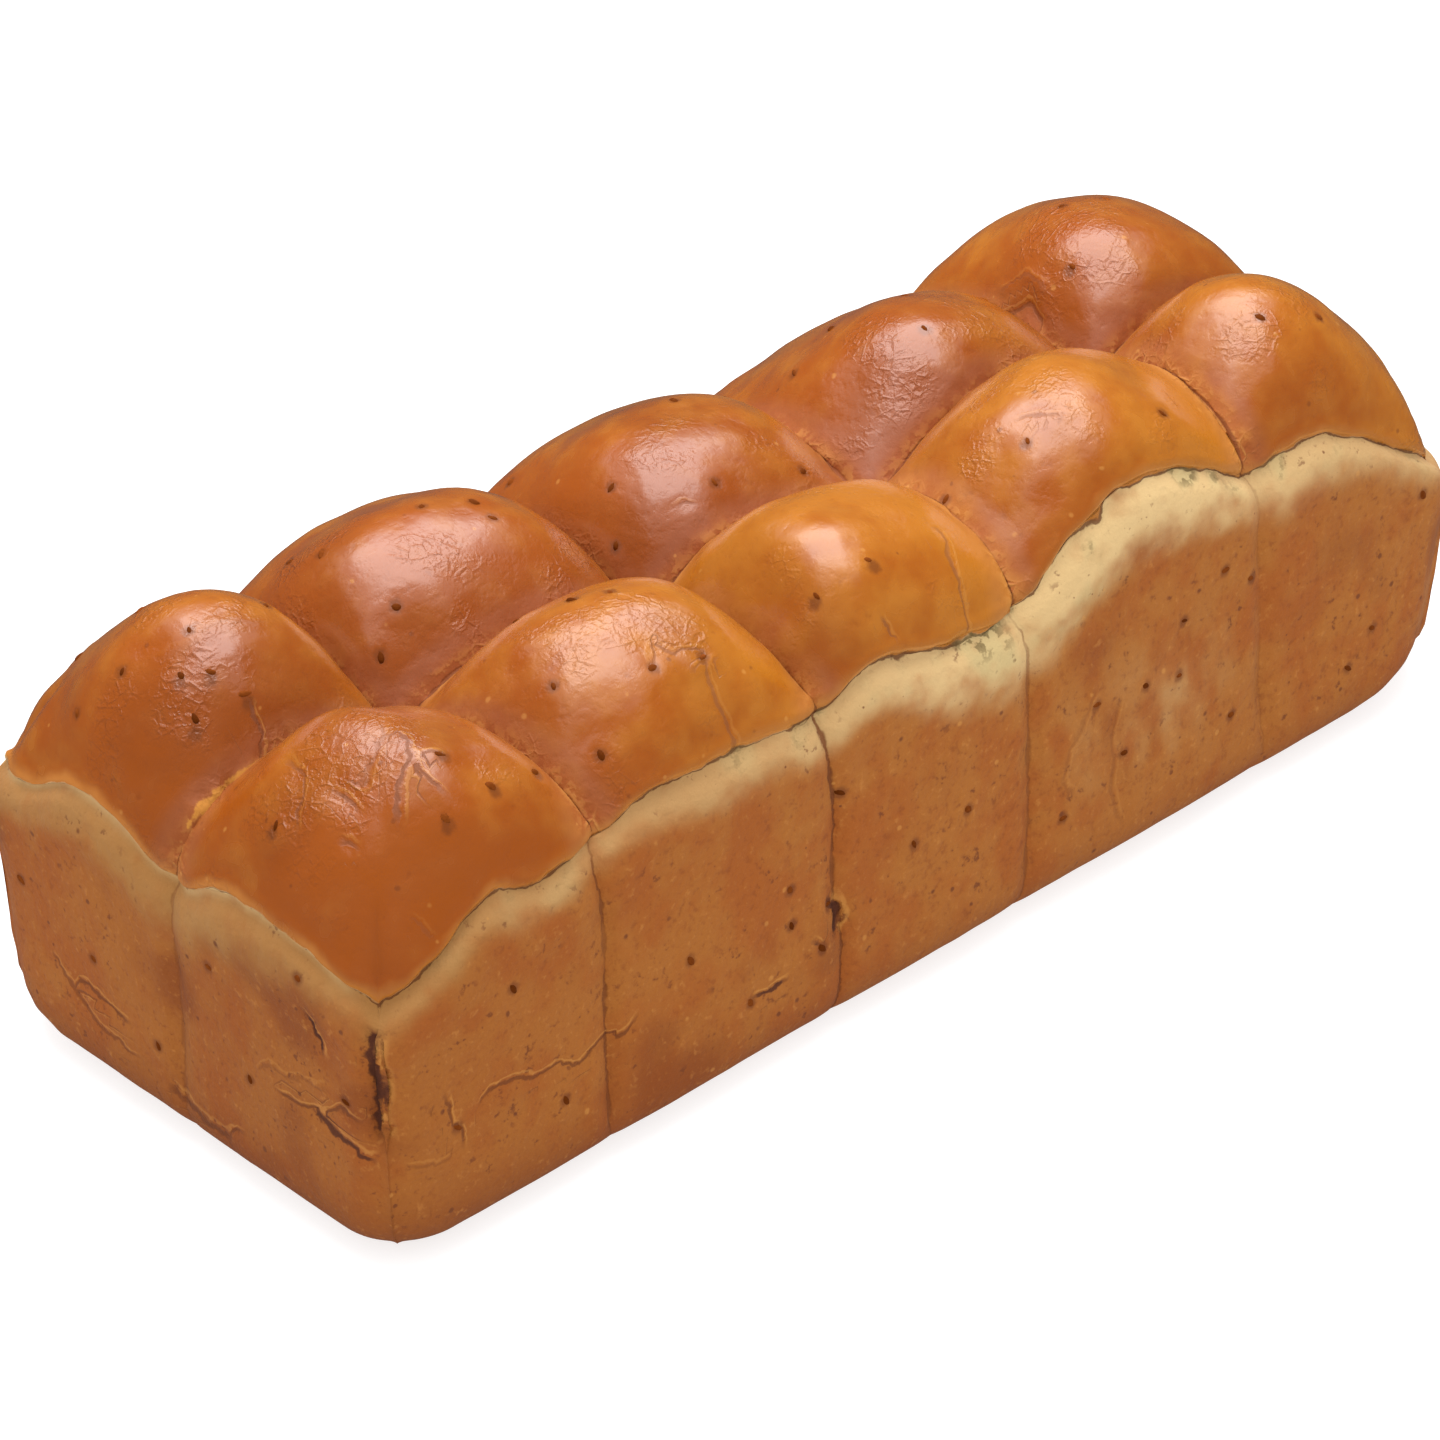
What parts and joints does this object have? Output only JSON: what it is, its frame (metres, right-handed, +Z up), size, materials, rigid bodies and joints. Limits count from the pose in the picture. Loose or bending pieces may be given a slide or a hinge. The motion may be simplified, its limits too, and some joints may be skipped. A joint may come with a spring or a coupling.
{
  "type": "mosbolletjie loaf",
  "caption": "Glazed aniseed bun loaf: balls of dough in two rows, baked together into one pull-apart block with domed tops and flat straight walls.",
  "frame": {"origin": "centre of the loaf's bounding box, on the flat underside it rests on", "axes": "+X along the loaf from the end nearest the camera to the far end, +Y from the seen long side to the hidden one, +Z up"},
  "size_m": [0.3251, 0.1383, 0.1099],
  "materials": {
    "crust": "baked dough with a satin egg glaze on the domes and a matte tin-baked wall"
  },
  "bodies": {
    "root": {"loaf": "crust"}
  },
  "joints": []
}
